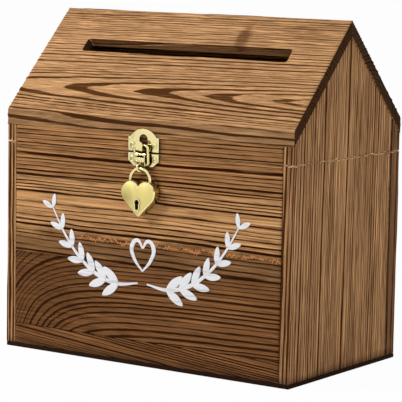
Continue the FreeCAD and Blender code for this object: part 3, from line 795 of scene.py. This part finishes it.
class CARDBOX_OT_roof_boards(bpy.types.Operator):
    """Two roof boards with wide wavy grain and charred ends"""

    bl_idname = "cardbox.roof_boards"
    bl_label = "Roof Boards"

    def execute(self, context):
        look = context.scene.card_box_wood
        light, dark = look.roof_light, look.roof_dark
        knot = Patch(centre=(44.0, -15.0, ridge_z - 15.0), reach=(8.0, 15.0, 15.0), strength=0.7, tint=dark)
        low = Patch(centre=(0.0, -64.0, ridge_z - 64.0), reach=(300.0, 46.0, 46.0), strength=0.04, tint=dark)
        front = torched_wood("roof_front_wood", light, dark,
                             pith=(0.0, -46.7, ridge_z - 63.6), way=(1.0, -0.03, 0.03),
                             spacing=2.4, waviness=2.6, line=1.35, scorch=0.7, late=0.74, patches=[knot, low])
        rear = torched_wood("roof_rear_wood", light, dark,
                            pith=(0.0, 30.0, ridge_z - 70.0), way=(1.0, -0.012, 0.018),
                            spacing=2.6, waviness=2.4, line=1.1, scorch=0.6)
        finished_board("roof_front_board", front, ALONG, [(0.0, -1.0, 1.0), FRONT],
                       (FRONT, EAVE_CHAR))
        finished_board("roof_rear_board", rear, ALONG, [(0.0, 1.0, 1.0), REAR],
                       (REAR, EAVE_CHAR))
        return {"FINISHED"}


class CARDBOX_OT_latch(bpy.types.Operator):
    """Toggle latch, lock eye, hinges and their fixings in pale brass"""

    bl_idname = "cardbox.latch"
    bl_label = "Latch and Hinges"

    def execute(self, context):
        look = context.scene.card_box_brass
        brass = metal("latch_brass", look.latch_colour, look.latch_gloss, waves=SHEET_WAVES)
        steel = metal("plain_steel", look.steel_colour, look.latch_gloss)
        for node in ("catch_plate", "latch_base_plate", "lever_pin", "lock_eye", "toggle_lever", "draw_loop",
                     "catch_plate_screws", "base_plate_screws", "box_hinge_screws", "lid_hinge_screws",
                     "left_hinge_box_leaf", "left_hinge_lid_leaf", "right_hinge_box_leaf",
                     "right_hinge_lid_leaf", "left_hinge_pin", "right_hinge_pin"):
            finished_metal(node, brass)
        finished_metal("base_nails", steel)
        return {"FINISHED"}


class CARDBOX_OT_padlock(bpy.types.Operator):
    """Heart padlock: satin case, bright shackle and the lock's inner parts"""

    bl_idname = "cardbox.padlock"
    bl_label = "Heart Padlock"

    def execute(self, context):
        look = context.scene.card_box_brass
        low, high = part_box("padlock_front_shell")
        middle = (low + high) / 2
        satin = metal("lock_satin", look.lock_colour, look.lock_gloss, dome=(middle.x, low.y, middle.z))
        polished = metal("lock_polish", look.latch_colour, look.edge_gloss)
        bright = metal("shackle_brass", look.latch_colour, look.latch_gloss)
        steel = metal("lock_steel", look.steel_colour, look.lock_gloss)
        shell = finished_metal("padlock_front_shell", polished)
        shell.data.materials.append(satin)
        for face in shell.data.polygons:
            face.material_index = 1 if face.normal.y < -FLAT_FRONT else 0
        for node in ("padlock_back_plate", "keyhole_rim"):
            finished_metal(node, polished)
        finished_metal("padlock_shackle", bright)
        for node in ("key_post", "bolt_spring", "lock_bolt"):
            finished_metal(node, steel)
        return {"FINISHED"}


def sprig_place(t):
    """Point and heading, in degrees, at share t of the sprig's stalk."""
    point = SPRIG_START * (1 - t) ** 2 + SPRIG_PULL * (2 * t * (1 - t)) + SPRIG_END * t ** 2
    way = (SPRIG_PULL - SPRIG_START) * (1 - t) + (SPRIG_END - SPRIG_PULL) * t
    return point, math.degrees(math.atan2(way.y, way.x))


def brush_stroke(points, side):
    """Mesh of one brush stroke: points hold x, z and half the stroke's width, in millimetres."""
    data = bpy.data.curves.new("stroke", "CURVE")
    data.dimensions = "3D"
    data.bevel_depth = MM
    data.bevel_resolution = 3
    data.use_fill_caps = True
    spline = data.splines.new("BEZIER")
    spline.bezier_points.add(len(points) - 1)
    for knot, (x, z, half) in zip(spline.bezier_points, points):
        knot.co = (side * x * MM, 0.0, z * MM)
        knot.radius = half
        knot.handle_left_type = knot.handle_right_type = "AUTO"
    holder = placed("stroke", data)
    drawn = bpy.data.meshes.new_from_object(holder.evaluated_get(bpy.context.evaluated_depsgraph_get()))
    bpy.data.objects.remove(holder)
    return drawn


def add_leaf(shape, side, stem, turn, length):
    """Slim leaf that starts at its stem and points along turn, in degrees."""
    made = bmesh.ops.create_uvsphere(shape, u_segments=14, v_segments=10, radius=0.5)["verts"]
    for v in made:
        v.co.z *= LEAF_SLIM * (1.0 - LEAF_TAPER * v.co.x ** 2)
        v.co.x += 0.5
    place = Matrix.Translation((stem.x * MM, 0.0, stem.y * MM)) @ Matrix.Rotation(math.radians(-turn), 4, "Y")
    bmesh.ops.transform(shape, matrix=place @ Matrix.Scale(length * MM, 4), verts=made)
    if side < 0.0:
        bmesh.ops.scale(shape, vec=(-1.0, 1.0, 1.0), verts=made)


def white_paint(look):
    """Dry white paint, thin where the brush ran out along the grain."""
    made, tree, surface = blank_material("white_paint")
    place = add(tree, "ShaderNodeTexCoord").outputs["Object"]
    bare = smooth_step(tree, streaks(tree, place, 400.0, 3.0, x=0.1), 0.5, 0.75)
    tree.links.new(blend_colour(tree, bare, look.paint, look.thin_paint), surface.inputs["Base Color"])
    surface.inputs["Roughness"].default_value = PAINT_ROUGHNESS
    return made


class CARDBOX_OT_ornament(bpy.types.Operator):
    """Mirrored leafy sprigs and a heart, brushed in white on the front boards"""

    bl_idname = "cardbox.ornament"
    bl_label = "Painted Sprigs"

    def execute(self, context):
        look = context.scene.card_box_ornament
        shape = bmesh.new()
        for side in (-1.0, 1.0):
            stalk = []
            for i, half in enumerate(SPRIG_HALF_WIDTHS):
                point, _ = sprig_place(i / (len(SPRIG_HALF_WIDTHS) - 1))
                stalk.append((point.x, point.y, half))
            for points in (stalk, HEART_STROKE):
                drawn = brush_stroke(points, side)
                shape.from_mesh(drawn)
                bpy.data.meshes.remove(drawn)
            for i in range(LEAF_PAIRS):
                share = (i + 1.0) / LEAF_PAIRS
                point, way = sprig_place(LEAF_START + LEAF_SPAN * share)
                length = LEAF_LENGTHS[0] + (LEAF_LENGTHS[1] - LEAF_LENGTHS[0]) * share
                for splay in (-LEAF_SPLAY, LEAF_SPLAY):
                    add_leaf(shape, side, point, way + splay, length)
        tallest = max(v.co.y for v in shape.verts)
        for v in shape.verts:
            v.co.y = front_y * MM + v.co.y / tallest * look.thick
        bmesh.ops.recalc_face_normals(shape, faces=shape.faces)
        mesh = mesh_from(shape, "painted_sprigs")
        mesh.shade_smooth()
        mesh.materials.append(white_paint(look))
        made = placed("painted_sprigs", mesh)
        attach(made, "box")
        return {"FINISHED"}


def seen_ray(tree):
    """1 for rays from the camera, from mirrors and through glass."""
    path = add(tree, "ShaderNodeLightPath").outputs
    direct = calc(tree, "MAXIMUM", path["Is Camera Ray"], path["Is Glossy Ray"])
    return calc(tree, "MAXIMUM", direct, path["Is Transmission Ray"])


def floor_material(glow):
    """Pale floor that the camera and mirrors see as white, with the box's soft shadow on it."""
    made, tree, surface = blank_material("pale_floor")
    surface.inputs["Base Color"].default_value = FLOOR_GREY
    surface.inputs["Roughness"].default_value = 1.0
    white = add(tree, "ShaderNodeEmission", {"Color": WHITE, "Strength": 1.0})
    share = calc(tree, "MULTIPLY", seen_ray(tree), glow)
    mixed = add(tree, "ShaderNodeMixShader", {0: share, 1: surface.outputs["BSDF"],
                                              2: white.outputs["Emission"]})
    set_surface(tree, mixed.outputs["Shader"])
    return made


def dark_card(name, place, size, aim):
    """Square card, dark in its middle, that only mirrors see, so that bright metal has something to show."""
    shape = bmesh.new()
    turn = (Vector(aim) - Vector(place)).to_track_quat("Z", "Y").to_matrix().to_4x4()
    bmesh.ops.create_grid(shape, x_segments=1, y_segments=1, size=size / 2,
                          matrix=Matrix.Translation(place) @ turn)
    mesh = mesh_from(shape, name)
    made, tree, _ = blank_material(name)
    at = add(tree, "ShaderNodeTexCoord").outputs["Object"]
    far = add(tree, "ShaderNodeVectorMath", {0: at, 1: place}, operation="DISTANCE").outputs["Value"]
    fade = smooth_step(tree, far, 0.1 * size, 0.5 * size, CARD_GLOW, 1.0)
    glow = add(tree, "ShaderNodeEmission", {"Strength": fade})
    set_surface(tree, glow.outputs["Emission"])
    mesh.materials.append(made)
    card = placed(name, mesh)
    card.visible_camera = card.visible_diffuse = card.visible_shadow = card.visible_transmission = False


def white_room(room):
    """World that the camera and mirrors see as white and that lights the box from all round."""
    made = bpy.data.worlds.new("white_room")
    made.use_nodes = True
    tree = made.node_tree
    tree.nodes.clear()
    strength = smooth_step(tree, seen_ray(tree), 0.0, 1.0, room, 1.0)
    back = add(tree, "ShaderNodeBackground", {"Color": WHITE, "Strength": strength})
    add(tree, "ShaderNodeOutputWorld", {"Surface": back.outputs["Background"]})
    return made


def lamp(name, place, aim, size, power):
    """Square lamp at a place that shines towards its aim."""
    light = bpy.data.lights.new(name, "AREA")
    light.size = size
    light.energy = power
    made = placed(name, light)
    made.location = place
    made.rotation_euler = (Vector(aim) - Vector(place)).to_track_quat("-Z", "Y").to_euler()


def place_camera(scene, look):
    """Camera turned about its aim, then slid, raised and rolled."""
    az, el = look.azimuth, look.elevation
    back = Vector((math.sin(az) * math.cos(el), -math.cos(az) * math.cos(el), math.sin(el)))
    right = Vector((math.cos(az), math.sin(az), 0.0))
    up = back.cross(right)
    rolled_right = right * math.cos(look.roll) + up * math.sin(look.roll)
    rolled_up = up * math.cos(look.roll) - right * math.sin(look.roll)
    data = bpy.data.cameras.new("camera")
    data.lens = look.lens
    data.sensor_fit = "HORIZONTAL"
    camera = placed("camera", data)
    turn = Matrix((rolled_right, rolled_up, back)).transposed().to_4x4()
    centre = Vector((0.0, 0.0, look.aim_height))
    place = centre + back * look.distance + right * look.slide + up * look.rise
    camera.matrix_world = Matrix.Translation(place) @ turn
    scene.camera = camera


class CARDBOX_OT_stage(bpy.types.Operator):
    """Pale floor, soft light and the camera"""

    bl_idname = "cardbox.stage"
    bl_label = "Stage"

    def execute(self, context):
        look = context.scene.card_box_stage
        shape = bmesh.new()
        bmesh.ops.create_grid(shape, x_segments=1, y_segments=1, size=FLOOR_HALF,
                              matrix=Matrix.Translation((0.0, 0.0, -FLOOR_DROP)))
        mesh = mesh_from(shape, "floor")
        mesh.materials.append(floor_material(look.floor_glow))
        floor = placed("floor", mesh)
        context.scene.world = white_room(look.room)
        aim = (0.0, 0.0, look.aim_height)
        lamp("key_lamp", KEY_PLACE, aim, KEY_SIZE, look.key)
        lamp("fill_lamp", FILL_PLACE, aim, FILL_SIZE, look.fill)
        latch = (0.0, front_y * MM, split_z * MM)
        for name, place, size in DARK_CARDS:
            dark_card(name, place, size, latch)
        place_camera(context.scene, look)
        context.scene.view_settings.view_transform = "Standard"
        return {"FINISHED"}


OPERATORS = (CARDBOX_OT_front_boards, CARDBOX_OT_rear_boards, CARDBOX_OT_side_boards, CARDBOX_OT_roof_boards,
             CARDBOX_OT_ornament, CARDBOX_OT_latch, CARDBOX_OT_padlock, CARDBOX_OT_stage)


class CARDBOX_PT_panel(bpy.types.Panel):
    """Lists the operators in the sidebar"""

    bl_idname = "CARDBOX_PT_panel"
    bl_label = "Card Box"
    bl_space_type = "VIEW_3D"
    bl_region_type = "UI"
    bl_category = "Card Box"

    def draw(self, context):
        for operator in OPERATORS:
            self.layout.operator(operator.bl_idname)


GROUPS = (CardBoxWood, CardBoxBrass, CardBoxOrnament, CardBoxStage)
CLASSES = (*GROUPS, *OPERATORS, CARDBOX_PT_panel)


def register():
    """Makes the classes and their settings known."""
    for item in CLASSES:
        bpy.utils.register_class(item)
    bpy.types.Scene.card_box_wood = PointerProperty(type=CardBoxWood)
    bpy.types.Scene.card_box_brass = PointerProperty(type=CardBoxBrass)
    bpy.types.Scene.card_box_ornament = PointerProperty(type=CardBoxOrnament)
    bpy.types.Scene.card_box_stage = PointerProperty(type=CardBoxStage)


def unregister():
    """Takes back what register did."""
    del bpy.types.Scene.card_box_stage
    del bpy.types.Scene.card_box_ornament
    del bpy.types.Scene.card_box_brass
    del bpy.types.Scene.card_box_wood
    for item in reversed(CLASSES):
        bpy.utils.unregister_class(item)


def main():
    """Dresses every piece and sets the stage."""
    register()
    bpy.ops.cardbox.front_boards()
    bpy.ops.cardbox.rear_boards()
    bpy.ops.cardbox.side_boards()
    bpy.ops.cardbox.roof_boards()
    bpy.ops.cardbox.ornament()
    bpy.ops.cardbox.latch()
    bpy.ops.cardbox.padlock()
    bpy.ops.cardbox.stage()


if __name__ == "__main__":
    main()
